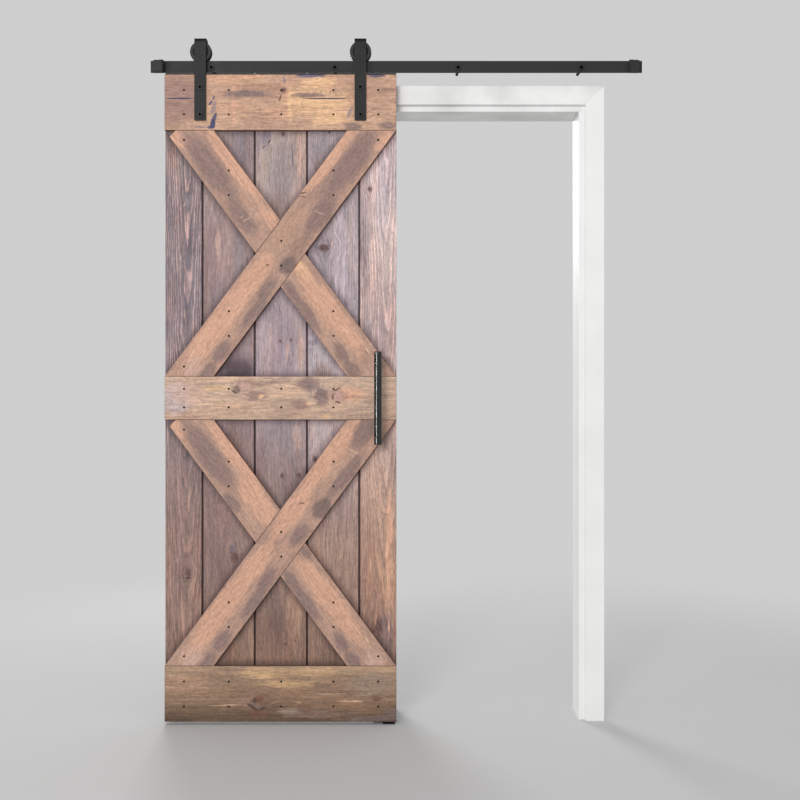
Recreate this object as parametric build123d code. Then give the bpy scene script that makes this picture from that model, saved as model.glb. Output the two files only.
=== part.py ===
from build123d import *
from math import asin, atan2, hypot, sin, tan
import os

# Sliding barn door hung from a flat track, with the lining and casing of its doorway.
# Sizes are in millimetres. X runs along the wall, +Y goes into the wall and Z is up.
# Y = 0 is the face of the wall, Z = 0 the floor, and X = 0 the face of the left jamb,
# where the right edge of the parked leaf lies too.

# Doorway
opening_width = 610.0
opening_height = 2032.0
jamb_thickness = 19.0
jamb_depth = 116.0
jamb_rabbet = 9.5
casing_width = 63.5
casing_thickness = 15.0
casing_ease = 1.5

# Leaf
leaf_width = 762.0
leaf_above_casing = 31.9
floor_clearance = 10.0
casing_clearance = 6.0
plank_thickness = 22.0
plank_count = 5
outer_plank_width = 122.4
seam_gap = 1.0
seam_vee = 3.4
tongue_length = 6.5
tongue_thickness = 6.0
tongue_play = 0.2
groove_spare = 0.5
board_thickness = 13.0
board_gap = 0.6
board_ease = 1.2
top_rail_drop = 8.3
top_rail_height = 183.0
middle_rail_height = 142.0
bottom_rail_height = 183.5
brace_width = 130.0
tip_cut_level = 37.0
tip_cut_slope = 26.5

# Track
track_length = 1620.0
track_overhang = 48.0
track_height = 38.0
track_thickness = 6.0
track_clearance = 1.5
track_bolt_count = 4
track_bolt_pitch = 406.4
track_bolt_rise = 16.0
spacer_radius = 6.5
bolt_play = 0.3
lag_neck_radius = 3.8
lag_thread_radius = 4.0
lag_thread_length = 26.0
lag_tip_length = 8.0
lag_head_radius = 9.0
lag_head_height = 4.0
lag_socket_width = 10.0
lag_socket_depth = 3.0

# Hangers
hanger_inset = 118.0
strap_width = 38.0
strap_thickness = 6.0
strap_bend_radius = 5.0
strap_foot_drop = 160.3
strap_foot_round = 3.0
strap_back_reach = 19.0
strap_end_flat = 0.3
wheel_radius = 35.2
tread_radius = 28.0
wheel_width = 22.0
groove_width = 7.0
groove_flare = 1.0
wheel_rim_ease = 1.5
wheel_side_clearance = 2.0
wheel_top_clearance = 2.0
tread_gap = 0.3
face_ring_radius = 23.5
face_ring_width = 3.0
face_ring_depth = 2.5
wheel_bore_radius = 10.5
bearing_radius = 13.0
bearing_width = 8.0
bearing_split_radius = 8.6
bearing_play = 0.05
bearing_seat_play = 0.03
axle_radius = 5.0
axle_head_radius = 9.0
axle_head_height = 4.0
axle_socket_width = 6.0
axle_socket_depth = 3.0
axle_play = 0.05
axle_nut_width = 17.0
axle_nut_height = 8.0
axle_end = 1.5
upper_bolt_drop = 51.5
lower_bolt_drop = 141.6
hanger_bolt_radius = 4.0
hanger_bolt_head_radius = 9.0
hanger_bolt_head_height = 3.0
hanger_bolt_socket_width = 9.0
hanger_bolt_socket_depth = 2.0
hanger_bolt_cover = 6.0
sleeve_radius = 5.5
sleeve_end_gap = 0.5
sleeve_flange_radius = 9.0
sleeve_flange_thickness = 2.5
sleeve_socket_width = 5.0
sleeve_socket_depth = 3.0
thread_play = 0.05

# Stops at the ends of the track
stop_length = 30.0
stop_inset = 13.0
stop_depth = 24.0
stop_top_drop = 5.6
stop_overhang = 2.5
stop_ease = 1.2
hook_length = 20.0
hook_thickness = 1.5
hook_front = 6.0
hook_back_thickness = 7.0
hook_back_height = 30.0
hook_play = 0.2
bumper_thickness = 3.0
bumper_margin = 3.0
bumper_lip_length = 9.0
bumper_lip_thickness = 3.0
bumper_lip_depth = 10.0
set_screw_radius = 3.0
set_screw_length = 9.0
set_screw_drop = 18.0
set_screw_socket_width = 3.0
set_screw_socket_depth = 3.0

# Pull handle
handle_length = 300.0
handle_radius = 12.5
handle_inset = 59.0
handle_projection = 60.0
handle_post_radius = 9.0
handle_post_spacing = 240.0
handle_ease = 1.5
handle_screw_radius = 3.0
handle_screw_head_radius = 6.0
handle_screw_head_height = 3.3
handle_screw_grip = 14.0
handle_screw_socket_width = 4.0
handle_screw_socket_depth = 2.0

# Floor guide
guide_length = 40.0
guide_inset = 5.0
guide_plate_thickness = 2.5
guide_fin_thickness = 6.0
guide_fin_height = 17.0
guide_lead_in = 10.0
guide_groove_play = 0.7
guide_groove_depth = 14.0
guide_screw_radius = 2.0
guide_screw_length = 20.0
guide_screw_spacing = 18.0

# Planes and levels that the pieces share
leaf_back = -casing_thickness - casing_clearance
plank_front = leaf_back - plank_thickness
leaf_front = plank_front - board_thickness
leaf_right = 0.0
leaf_left = leaf_right - leaf_width
leaf_middle = leaf_right - leaf_width / 2
casing_top = opening_height + jamb_thickness + casing_width
leaf_bottom = floor_clearance
leaf_top = casing_top + leaf_above_casing
leaf_height = leaf_top - leaf_bottom
plank_pitch = (leaf_width - 2 * outer_plank_width) / (plank_count - 2)
tongue_middle = plank_front + plank_thickness / 2
rails_height = top_rail_drop + top_rail_height + middle_rail_height + bottom_rail_height
bay_height = (leaf_height - rails_height) / 2
lower_bay_bottom = leaf_bottom + bottom_rail_height
lower_bay_middle = lower_bay_bottom + bay_height / 2
middle_rail_bottom = lower_bay_bottom + bay_height
upper_bay_bottom = middle_rail_bottom + middle_rail_height
upper_bay_middle = upper_bay_bottom + bay_height / 2
top_rail_bottom = upper_bay_bottom + bay_height
brace_lean = atan2(bay_height, leaf_width) + asin(brace_width / hypot(bay_height, leaf_width))
brace_run = brace_width / sin(brace_lean)
track_left = leaf_left - track_overhang
track_right = track_left + track_length
track_ends = {-1: track_left, 1: track_right}
track_middle = leaf_front + wheel_side_clearance + wheel_width / 2
track_front = track_middle - track_thickness / 2
track_back = track_middle + track_thickness / 2
track_bottom = leaf_top + track_clearance
track_top = track_bottom + track_height
track_bolt_level = track_bottom + track_bolt_rise
axle_level = track_top + tread_gap + tread_radius
strap_front = leaf_front - strap_thickness
strap_back_inner = track_middle + wheel_width / 2 + wheel_side_clearance
strap_back = strap_back_inner + strap_thickness
strap_inner_top = axle_level + wheel_radius + wheel_top_clearance
strap_top = strap_inner_top + strap_thickness
strap_foot = leaf_top - strap_foot_drop
hangers = {"left": leaf_left + hanger_inset, "right": leaf_right - hanger_inset}
hanger_bolt_levels = [leaf_top - upper_bolt_drop, leaf_top - lower_bolt_drop]
hanger_bolt_end = leaf_back - hanger_bolt_cover
sleeve_end = plank_front + sleeve_end_gap
handle_x = leaf_right - handle_inset
handle_level = middle_rail_bottom + middle_rail_height / 2
handle_axis = leaf_front - handle_projection
handle_post_levels = [handle_level - handle_post_spacing / 2, handle_level + handle_post_spacing / 2]
guide_middle = leaf_right - guide_inset - guide_length / 2


def slab(x0, x1, y0, y1, z0, z1):
    """A board or plate given by its two ends along each axis."""
    corner = Pos(min(x0, x1), min(y0, y1), min(z0, z1))
    return corner * Box(abs(x1 - x0), abs(y1 - y0), abs(z1 - z0), align=(Align.MIN,) * 3)


def turned(x, z, profile):
    """A piece turned about an axis along Y through (x, z), from its (radius, y) outline."""
    outline = Polygon(*profile, align=None)
    return Pos(x, 0, z) * revolve(outline, Axis.Y, 360)


def rod(x, z, y0, y1, radius):
    """A plain round bar along Y."""
    return turned(x, z, [(0, y0), (radius, y0), (radius, y1), (0, y1)])


def tube(x, z, y0, y1, outer, inner):
    """A round sleeve along Y."""
    return turned(x, z, [(inner, y0), (outer, y0), (outer, y1), (inner, y1)])


def hexagon(x, z, y0, y1, width):
    """A six-sided bar along Y, given by its width across the flats."""
    outline = RegularPolygon(width / 2, 6, major_radius=False)
    return extrude(Pos(x, y0, z) * Rot(-90, 0, 0) * outline, y1 - y0)


def socket_bolt(x, z, seat, end, radius, head_radius, head_height, socket_width, socket_depth):
    """A low round-headed bolt under its seat, with a six-sided socket in the head."""
    face = seat - head_height
    profile = [
        (0, face),
        (head_radius, face),
        (head_radius, seat),
        (radius, seat),
        (radius, end),
        (0, end),
    ]
    return turned(x, z, profile) - hexagon(x, z, face, face + socket_depth, socket_width)


# Doorway lining and casing

def side_jamb(face, outward):
    """A side of the lining, rabbeted at its top for the head."""
    outer = face + outward * jamb_thickness
    head_top = opening_height + jamb_thickness
    jamb = slab(face, outer, 0, jamb_depth, 0, head_top)
    return jamb - slab(face, face + outward * jamb_rabbet, 0, jamb_depth, opening_height, head_top)


def head_jamb():
    """The head of the lining, seated in both rabbets."""
    head_top = opening_height + jamb_thickness
    return slab(-jamb_rabbet, opening_width + jamb_rabbet, 0, jamb_depth, opening_height, head_top)


def casing(outline, run):
    """A flat casing board on the wall's face, its two long front edges eased."""
    board = extrude(Plane.XZ * Polygon(*outline, align=None), casing_thickness)
    return chamfer(board.faces().sort_by(Axis.Y)[0].edges().filter_by(run), casing_ease)


def casings():
    """Two legs and a head, mitred where they meet."""
    left_inner = -jamb_thickness
    right_inner = opening_width + jamb_thickness
    left_outer = left_inner - casing_width
    right_outer = right_inner + casing_width
    inner_top = opening_height + jamb_thickness
    left = [(left_outer, 0), (left_inner, 0), (left_inner, inner_top), (left_outer, casing_top)]
    right = [(right_inner, 0), (right_outer, 0), (right_outer, casing_top), (right_inner, inner_top)]
    head = [
        (left_inner, inner_top),
        (right_inner, inner_top),
        (right_outer, casing_top),
        (left_outer, casing_top),
    ]
    return casing(left, Axis.Z), casing(right, Axis.Z), casing(head, Axis.X)


# Boards of the leaf

def seams():
    """The middle of each joint between planks, from left to right."""
    first = leaf_left + outer_plank_width
    return [first + plank_pitch * i for i in range(plank_count - 1)]


def plank_edges(i):
    """The left and right face edges of a plank."""
    joints = seams()
    left = leaf_left if i == 0 else joints[i - 1] + seam_gap / 2
    right = leaf_right if i == plank_count - 1 else joints[i] - seam_gap / 2
    return left, right


def plank_section(i):
    """A plank's section: a tongue on its right, a groove on its left and vee edges in front."""
    left, right = plank_edges(i)
    section = Pos(left, plank_front) * Rectangle(right - left, plank_thickness, align=Align.MIN)
    vee = Rot(0, 0, 45) * Rectangle(seam_vee * 2 ** 0.5, seam_vee * 2 ** 0.5)
    if i > 0:
        groove_depth = tongue_length - seam_gap + groove_spare
        groove_width_all = tongue_thickness + 2 * tongue_play
        groove = Rectangle(groove_depth, groove_width_all, align=(Align.MIN, Align.CENTER))
        section -= Pos(left, tongue_middle) * groove
        section -= Pos(left, plank_front) * vee
    if i < plank_count - 1:
        tongue = Rectangle(tongue_length, tongue_thickness, align=(Align.MIN, Align.CENTER))
        section += Pos(right, tongue_middle) * tongue
        section -= Pos(right, plank_front) * vee
    return section


def guide_groove():
    """The slot along the leaf's foot that runs over the fin of the floor guide."""
    half = guide_fin_thickness / 2 + guide_groove_play
    top = leaf_bottom + guide_groove_depth
    return slab(leaf_left, leaf_right, tongue_middle - half, tongue_middle + half, leaf_bottom, top)


def plank(i):
    """One full-height plank, slotted at its foot."""
    return extrude(Pos(0, 0, leaf_bottom) * plank_section(i), leaf_height) - guide_groove()


def front_board(outline):
    """A board screwed flat on the planks, its front edges eased."""
    board = extrude(Plane.XZ.offset(-plank_front) * outline, board_thickness)
    return chamfer(board.faces().sort_by(Axis.Y)[0].edges(), board_ease)


def rail(bottom, height):
    """A full-width rail."""
    corner = Pos(leaf_left, bottom)
    return front_board(corner * Rectangle(leaf_width, height, align=Align.MIN))


def brace_band(bay_middle, rise, run, reach):
    """A slanting band through a bay's middle. Rise is 1 to climb to the right, -1 to the left."""
    shift = rise * reach / tan(brace_lean)
    low = leaf_middle - shift
    high = leaf_middle + shift
    corners = [
        (low - run / 2, bay_middle - reach),
        (low + run / 2, bay_middle - reach),
        (high + run / 2, bay_middle + reach),
        (high - run / 2, bay_middle + reach),
    ]
    return Polygon(*corners, align=None)


def tip_cut(bay_middle):
    """The nipped upper tip of a left half brace."""
    top = bay_middle + bay_height / 2
    reach = tip_cut_slope * sin(brace_lean)
    inward = reach / tan(brace_lean)
    return Polygon(
        (leaf_left, top), (leaf_left + tip_cut_level, top), (leaf_left + inward, top - reach), align=None
    )


def brace_cross(bay_middle):
    """One unbroken brace, and two half braces cut to butt against it."""
    reach = bay_height / 2 - board_gap
    long_brace = brace_band(bay_middle, 1, brace_run, reach)
    cut = brace_band(bay_middle, 1, brace_run + 2 * board_gap / sin(brace_lean), bay_height)
    halves = brace_band(bay_middle, -1, brace_run, reach) - cut - tip_cut(bay_middle)
    left, right = halves.faces().sort_by(Axis.X)
    return front_board(long_brace), front_board(left), front_board(right)


# Hangers

def strap(x):
    """A flat bar bent over the wheel into a hook, bolted to the leaf's front."""
    outer = Pos(strap_front, strap_foot) * Rectangle(
        strap_back - strap_front, strap_top - strap_foot, align=Align.MIN
    )
    outer = fillet(outer.vertices().group_by(Axis.Y)[-1], strap_bend_radius + strap_thickness)
    inner = Pos(leaf_front, strap_foot) * Rectangle(
        strap_back_inner - leaf_front, strap_inner_top - strap_foot, align=Align.MIN
    )
    inner = fillet(inner.vertices().group_by(Axis.Y)[-1], strap_bend_radius)
    open_back = Pos(leaf_front, strap_foot) * Rectangle(
        strap_back - leaf_front, axle_level - strap_back_reach - strap_foot, align=Align.MIN
    )
    section = Plane.YZ.offset(x - strap_width / 2) * (outer - inner - open_back)
    bar = extrude(section, strap_width)
    hook_end_edges = bar.edges().filter_by(Axis.Y).group_by(Axis.Z)[1]
    bar = fillet(hook_end_edges, strap_width / 2 - strap_end_flat)
    foot_edges = bar.edges().filter_by(Axis.Y).group_by(Axis.Z)[0]
    bar = fillet(foot_edges, strap_foot_round)
    for z in hanger_bolt_levels:
        bar -= rod(x, z, strap_front, leaf_front, hanger_bolt_radius + bolt_play)
    bar -= axle_screw(x, axle_play)
    return bar


def axle_screw(x, play=0.0):
    """The countersunk bolt that the wheel turns on, or the hole for it where play is given."""
    end = strap_back + axle_nut_height + axle_end
    profile = [
        (0, strap_front),
        (axle_head_radius + play, strap_front),
        (axle_radius + play, strap_front + axle_head_height + play),
        (axle_radius + play, end),
        (0, end),
    ]
    return turned(x, axle_level, profile)


def axle(x):
    """The wheel's bolt with the socket in its flush head."""
    socket = hexagon(x, axle_level, strap_front, strap_front + axle_socket_depth, axle_socket_width)
    return axle_screw(x) - socket


def wheel_profile():
    """The section of the grooved wheel, with a turned ring in its face, as (radius, y) points."""
    root = groove_width / 2
    lip = root + groove_flare
    rim = wheel_radius - wheel_rim_ease
    ring_inner = face_ring_radius - face_ring_width / 2
    ring_outer = face_ring_radius + face_ring_width / 2
    seat = bearing_radius + bearing_seat_play
    bearing_half = bearing_width / 2
    front_face = -wheel_width / 2
    back_face = wheel_width / 2
    points = [
        (wheel_bore_radius, front_face),
        (ring_inner, front_face),
        (ring_inner, front_face + face_ring_depth),
        (ring_outer, front_face + face_ring_depth),
        (ring_outer, front_face),
        (rim, front_face),
        (wheel_radius, front_face + wheel_rim_ease),
        (wheel_radius, -lip),
        (tread_radius, -root),
        (tread_radius, root),
        (wheel_radius, lip),
        (wheel_radius, back_face - wheel_rim_ease),
        (rim, back_face),
        (seat, back_face),
        (seat, -bearing_half),
        (wheel_bore_radius, -bearing_half),
    ]
    return [(radius, track_middle + y) for radius, y in points]


def wheel(x):
    """A grooved wheel that straddles the track, bored for its bearing from the back."""
    return turned(x, axle_level, wheel_profile())


def bearing_rings(x):
    """The outer ring, which turns with the wheel, and the long inner ring held between the strap's legs."""
    front = track_middle - bearing_width / 2
    back = track_middle + bearing_width / 2
    outer = tube(x, axle_level, front, back, bearing_radius, bearing_split_radius)
    inner_radius = bearing_split_radius - bearing_play
    inner = tube(x, axle_level, leaf_front, strap_back_inner, inner_radius, axle_radius + axle_play)
    return outer, inner


def axle_nut(x):
    """The nut on the axle behind the strap."""
    end = strap_back + axle_nut_height
    nut = hexagon(x, axle_level, strap_back, end, axle_nut_width)
    return nut - rod(x, axle_level, strap_back, end, axle_radius + thread_play)


def hanger_bolt(x, z):
    """A bolt through strap, rail and plank."""
    return socket_bolt(
        x, z, strap_front, hanger_bolt_end, hanger_bolt_radius, hanger_bolt_head_radius,
        hanger_bolt_head_height, hanger_bolt_socket_width, hanger_bolt_socket_depth,
    )


def sleeve_nut(x, z):
    """The flanged sleeve nut that takes a hanger bolt from the back of the leaf."""
    face = leaf_back + sleeve_flange_thickness
    profile = [
        (0, sleeve_end),
        (sleeve_radius, sleeve_end),
        (sleeve_radius, leaf_back),
        (sleeve_flange_radius, leaf_back),
        (sleeve_flange_radius, face),
        (0, face),
    ]
    nut = turned(x, z, profile)
    nut -= rod(x, z, sleeve_end, hanger_bolt_end, hanger_bolt_radius + thread_play)
    return nut - hexagon(x, z, face - sleeve_socket_depth, face, sleeve_socket_width)


def hanger_hole(x, z):
    """The hole through rail and plank, wider in the plank for the sleeve nut."""
    profile = [
        (0, leaf_front),
        (hanger_bolt_radius + bolt_play, leaf_front),
        (hanger_bolt_radius + bolt_play, plank_front),
        (sleeve_radius + thread_play, plank_front),
        (sleeve_radius + thread_play, leaf_back),
        (0, leaf_back),
    ]
    return turned(x, z, profile)


# Handle

def pull_handle():
    """A round bar welded to two posts, which are tapped for screws from the back of the leaf."""
    bar = Pos(handle_x, handle_axis, handle_level) * Cylinder(handle_radius, handle_length)
    handle = chamfer(bar.edges().filter_by(GeomType.CIRCLE), handle_ease)
    for z in handle_post_levels:
        handle += rod(handle_x, z, handle_axis, leaf_front, handle_post_radius)
    thread_end = leaf_front - handle_screw_grip
    for z in handle_post_levels:
        handle -= rod(handle_x, z, thread_end, leaf_front, handle_screw_radius + thread_play)
    return handle


def handle_screw(z, play=0.0):
    """The countersunk screw of a post, or the hole for it where play is given."""
    tip = leaf_front if play else leaf_front - handle_screw_grip + thread_play
    profile = [
        (0, leaf_back),
        (handle_screw_head_radius + play, leaf_back),
        (handle_screw_radius + play, leaf_back - handle_screw_head_height - play),
        (handle_screw_radius + play, tip),
        (0, tip),
    ]
    screw = turned(handle_x, z, profile)
    if play:
        return screw
    mouth = leaf_back - handle_screw_socket_depth
    return screw - hexagon(handle_x, z, mouth, leaf_back, handle_screw_socket_width)


# Track

def track_bolt_places():
    """The middle of each wall bolt along the track."""
    first = track_left + (track_length - track_bolt_pitch * (track_bolt_count - 1)) / 2
    return [first + track_bolt_pitch * i for i in range(track_bolt_count)]


def track():
    """The flat bar that the wheels run on, drilled for its wall bolts."""
    bar = slab(track_left, track_right, track_front, track_back, track_bottom, track_top)
    for x in track_bolt_places():
        bar -= rod(x, track_bolt_level, track_front, track_back, lag_thread_radius + bolt_play)
    return bar


def track_spacer(x):
    """A round spacer that keeps the track off the wall."""
    return tube(x, track_bolt_level, track_back, 0, spacer_radius, lag_thread_radius + bolt_play)


def track_bolt(x):
    """A lag bolt through track and spacer, its thread in the wall."""
    neck = socket_bolt(
        x, track_bolt_level, track_front, 0, lag_neck_radius, lag_head_radius,
        lag_head_height, lag_socket_width, lag_socket_depth,
    )
    tip = lag_thread_length + lag_tip_length
    thread = [(0, 0), (lag_thread_radius, 0), (lag_thread_radius, lag_thread_length), (0, tip)]
    return neck + turned(x, track_bolt_level, thread)


def stop_levels():
    """The foot and the top of a stop's body in front of the track."""
    return track_bottom - stop_overhang, track_top - stop_top_drop


def stop_body(side):
    """An end stop hooked over the track. Side is -1 at the left end and 1 at the right."""
    outer = track_ends[side] - side * stop_inset
    inner = outer - side * stop_length
    hook_inner = outer - side * hook_length
    foot, top = stop_levels()
    face = track_front - hook_play
    hook_top = track_top + hook_play + hook_thickness
    back_face = track_back + hook_play
    back = back_face + hook_back_thickness
    hook_foot = track_top - hook_back_height
    body = slab(outer, inner, track_front - stop_depth, face, foot, top)
    body = chamfer(body.faces().sort_by(Axis.Y)[0].edges(), stop_ease)
    body += slab(outer, hook_inner, face - hook_front, face, top, hook_top)
    body += slab(outer, hook_inner, face, back, track_top + hook_play, hook_top)
    body += slab(outer, hook_inner, back_face, back, hook_foot, hook_top)
    return body - set_screw_hole(side)


def bumper(side):
    """A rubber pad on the inner face of a stop, lipped over its top, that the strap rests against."""
    seat = track_ends[side] - side * (stop_inset + stop_length)
    face = seat - side * bumper_thickness
    lip_end = seat + side * bumper_lip_length
    foot, top = stop_levels()
    lip_top = top + bumper_lip_thickness
    front = track_front - stop_depth + bumper_margin
    pad = slab(seat, face, front, track_front - bumper_margin, foot + bumper_margin, top)
    return pad + slab(face, lip_end, front, front + bumper_lip_depth, top, lip_top)


def set_screw_place(side):
    """The middle of a stop's set screw along the track, and its level."""
    outer = track_ends[side] - side * stop_inset
    return outer - side * hook_length / 2, track_top - set_screw_drop


def set_screw_hole(side):
    """The tapped hole through the hook's back leg."""
    x, z = set_screw_place(side)
    back_face = track_back + hook_play
    return rod(x, z, back_face, back_face + hook_back_thickness, set_screw_radius + thread_play)


def set_screw(side):
    """The set screw that grips the track from behind."""
    x, z = set_screw_place(side)
    end = track_back + set_screw_length
    socket = hexagon(x, z, end - set_screw_socket_depth, end, set_screw_socket_width)
    return rod(x, z, track_back, end, set_screw_radius) - socket


# Floor guide

def guide_screw(side, play=0.0):
    """A countersunk screw of the floor guide, or the hole for it where play is given."""
    top = guide_plate_thickness
    outline = Polygon(
        (0, top),
        (guide_screw_radius + guide_plate_thickness + play, top),
        (guide_screw_radius + play, 0),
        (guide_screw_radius + play, top - guide_screw_length),
        (0, top - guide_screw_length),
        align=None,
    )
    place = Pos(guide_middle, tongue_middle + side * guide_screw_spacing / 2, 0)
    return place * revolve(Plane.XZ * outline, Axis.Z, 360)


def floor_guide():
    """A plate against the casing's foot, with a fin that runs in the slot of the leaf."""
    start = guide_middle - guide_length / 2
    end = guide_middle + guide_length / 2
    back = -casing_thickness
    front = 2 * tongue_middle - back
    fin_half = guide_fin_thickness / 2
    plate = slab(start, end, front, back, 0, guide_plate_thickness)
    fin_outline = Polygon(
        (start, 0),
        (start + guide_lead_in, -fin_half),
        (end - guide_lead_in, -fin_half),
        (end, 0),
        (end - guide_lead_in, fin_half),
        (start + guide_lead_in, fin_half),
        align=None,
    )
    fin = extrude(Pos(0, tongue_middle, guide_plate_thickness) * fin_outline, guide_fin_height)
    guide = plate + fin
    for side in (-1, 1):
        guide -= guide_screw(side, thread_play)
    return guide


# Every piece under its own name

pieces = {}
pieces["left_jamb"] = [side_jamb(0, -1)]
pieces["right_jamb"] = [side_jamb(opening_width, 1)]
pieces["head_jamb"] = [head_jamb()]
left_casing, right_casing, head_casing = casings()
pieces["left_casing"] = [left_casing]
pieces["right_casing"] = [right_casing]
pieces["head_casing"] = [head_casing]

planks = [plank(i) for i in range(plank_count)]
boards = {
    "top_rail": rail(top_rail_bottom, top_rail_height),
    "middle_rail": rail(middle_rail_bottom, middle_rail_height),
    "bottom_rail": rail(leaf_bottom, bottom_rail_height),
}
for bay, bay_middle in (("upper", upper_bay_middle), ("lower", lower_bay_middle)):
    long_brace, left_half, right_half = brace_cross(bay_middle)
    boards[bay + "_long_brace"] = long_brace
    boards[bay + "_left_half_brace"] = left_half
    boards[bay + "_right_half_brace"] = right_half

holes = [hanger_hole(x, z) for x in hangers.values() for z in hanger_bolt_levels]
holes += [handle_screw(z, thread_play) for z in handle_post_levels]

for i, board in enumerate(planks):
    pieces["plank_" + str(i + 1)] = [board - holes]
for name, board in boards.items():
    pieces[name] = [board - holes]

for side, x in hangers.items():
    outer_ring, inner_ring = bearing_rings(x)
    pieces[side + "_strap"] = [strap(x)]
    pieces[side + "_hanger_bolts"] = [hanger_bolt(x, z) for z in hanger_bolt_levels]
    pieces[side + "_sleeve_nuts"] = [sleeve_nut(x, z) for z in hanger_bolt_levels]
    pieces[side + "_wheel"] = [wheel(x)]
    pieces[side + "_bearing_outer_ring"] = [outer_ring]
    pieces[side + "_bearing_inner_ring"] = [inner_ring]
    pieces[side + "_axle"] = [axle(x)]
    pieces[side + "_axle_nut"] = [axle_nut(x)]

pieces["pull_handle"] = [pull_handle()]
pieces["handle_screws"] = [handle_screw(z) for z in handle_post_levels]

pieces["track"] = [track()]
pieces["track_spacers"] = [track_spacer(x) for x in track_bolt_places()]
pieces["track_bolts"] = [track_bolt(x) for x in track_bolt_places()]
for name, side in (("left", -1), ("right", 1)):
    pieces[name + "_stop"] = [stop_body(side)]
    pieces[name + "_stop_bumper"] = [bumper(side)]
    pieces[name + "_stop_set_screw"] = [set_screw(side)]
pieces["floor_guide"] = [floor_guide()]
pieces["floor_guide_screws"] = [guide_screw(side) for side in (-1, 1)]

os.makedirs("parts", exist_ok=True)
for name, solids in pieces.items():
    shape = solids[0] if len(solids) == 1 else Compound(children=solids)
    export_step(shape, "parts/" + name + ".step")

bumper_reach = stop_inset + stop_length + bumper_thickness
left_travel = hangers["left"] - strap_width / 2 - (track_left + bumper_reach)
right_travel = track_right - bumper_reach - (hangers["right"] + strap_width / 2)
print(f"{len(pieces)} pieces or groups; brace lean {brace_lean:.4f} rad")
print(f"axle level {axle_level:.2f}, strap top {strap_top:.2f}, handle level {handle_level:.2f}")
print(f"leaf travel {-left_travel:.2f} to {right_travel:.2f}")
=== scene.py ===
# %% [markdown]
# # A sliding barn door, dressed
#
# The solid parts of this door come from its construction model: planks, rails, braces, hangers, track and
# the white lining of the doorway. Here each of them gets the surface that the real one has. Wood takes the
# most care, because a plank door is nearly all wood: every board has its own grain, knots and stains.
#
# The frame is loaded first, because every later size is read from it.

import math

import bpy
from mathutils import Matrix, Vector


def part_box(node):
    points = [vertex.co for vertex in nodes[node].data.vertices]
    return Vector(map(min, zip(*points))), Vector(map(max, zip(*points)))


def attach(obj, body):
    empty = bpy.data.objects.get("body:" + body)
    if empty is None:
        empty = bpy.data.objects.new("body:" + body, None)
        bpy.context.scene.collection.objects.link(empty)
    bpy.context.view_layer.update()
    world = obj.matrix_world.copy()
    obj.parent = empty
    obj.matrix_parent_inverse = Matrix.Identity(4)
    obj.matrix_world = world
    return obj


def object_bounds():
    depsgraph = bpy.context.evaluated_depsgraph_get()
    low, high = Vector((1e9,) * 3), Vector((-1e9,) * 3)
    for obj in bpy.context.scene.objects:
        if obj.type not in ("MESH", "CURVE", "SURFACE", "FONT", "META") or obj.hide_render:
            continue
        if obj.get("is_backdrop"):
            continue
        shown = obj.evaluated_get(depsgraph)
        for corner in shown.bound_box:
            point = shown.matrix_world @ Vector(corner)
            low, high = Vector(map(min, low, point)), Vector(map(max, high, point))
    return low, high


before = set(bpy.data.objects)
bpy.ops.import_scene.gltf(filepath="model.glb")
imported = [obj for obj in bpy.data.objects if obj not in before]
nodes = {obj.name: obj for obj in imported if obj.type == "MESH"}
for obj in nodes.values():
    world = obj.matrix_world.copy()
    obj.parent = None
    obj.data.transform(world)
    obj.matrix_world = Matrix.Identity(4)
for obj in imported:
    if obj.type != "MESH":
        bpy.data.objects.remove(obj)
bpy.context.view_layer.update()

# %% [markdown]
# ## The camera
#
# The photograph was taken square on, from a little over three metres away and about as high as the handle.
# A level camera keeps upright lines upright, so no shift or tilt is needed.

# %% Camera
camera_data = bpy.data.cameras.new("camera")
camera_data.sensor_width = 36.0
camera_data.lens = 44.5
camera_data.dof.use_dof = False
camera = bpy.data.objects.new("camera", camera_data)
camera.location = (0.012, -3.306, 1.068)
camera.rotation_euler = (math.radians(90), 0, 0)
bpy.context.scene.collection.objects.link(camera)
bpy.context.scene.camera = camera
print("camera", tuple(round(v, 3) for v in camera.location), "lens", camera_data.lens)

# %% [markdown]
# ## Soft light
#
# The light is a studio's. A wide soft box stands far in front and high, so that it lights the door evenly
# from top to bottom. A second soft box lights the back, and a pale surround fills every shadow. A slim
# strip to the left draws the bright line along the round handle. It shows only in reflections.

# %% Lights
surround_grey = 0.62


def soft_light(name, place, target, size, power):
    """A rectangular soft light that faces its target."""
    data = bpy.data.lights.new(name, "AREA")
    data.shape = "RECTANGLE"
    data.size, data.size_y = size
    data.energy = power
    lamp = bpy.data.objects.new(name, data)
    lamp.location = place
    lamp.rotation_euler = (Vector(target) - Vector(place)).to_track_quat("-Z", "Y").to_euler()
    bpy.context.scene.collection.objects.link(lamp)
    return lamp


soft_light("soft_box", (-2.2, -8.0, 3.2), (-0.1, 0, 1.1), (2.6, 2.2), 330)
soft_light("back_box", (-1.6, 4.5, 3.2), (0, 0, 1.1), (1.8, 1.8), 120)
edge_strip = soft_light("edge_strip", (-2.9, -2.3, 1.09), (-0.06, -0.1, 1.07), (0.07, 1.3), 105)
edge_strip.visible_diffuse = False

world = bpy.data.worlds.new("surround")
bpy.context.scene.world = world
world.use_nodes = True
background = world.node_tree.nodes["Background"]
background.inputs["Color"].default_value = (surround_grey, surround_grey, surround_grey, 1)
bpy.context.scene.view_settings.view_transform = "Standard"
print("3 soft lights in a surround of grey", surround_grey)

# %% [markdown]
# ## A shorthand for shader nodes
#
# A material is a tree of small nodes. Writing each link by hand hides the idea, so this helper adds a node,
# fills its sockets with numbers or with other nodes' results, and hands back its result. Every material
# below then reads like a recipe.


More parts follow.
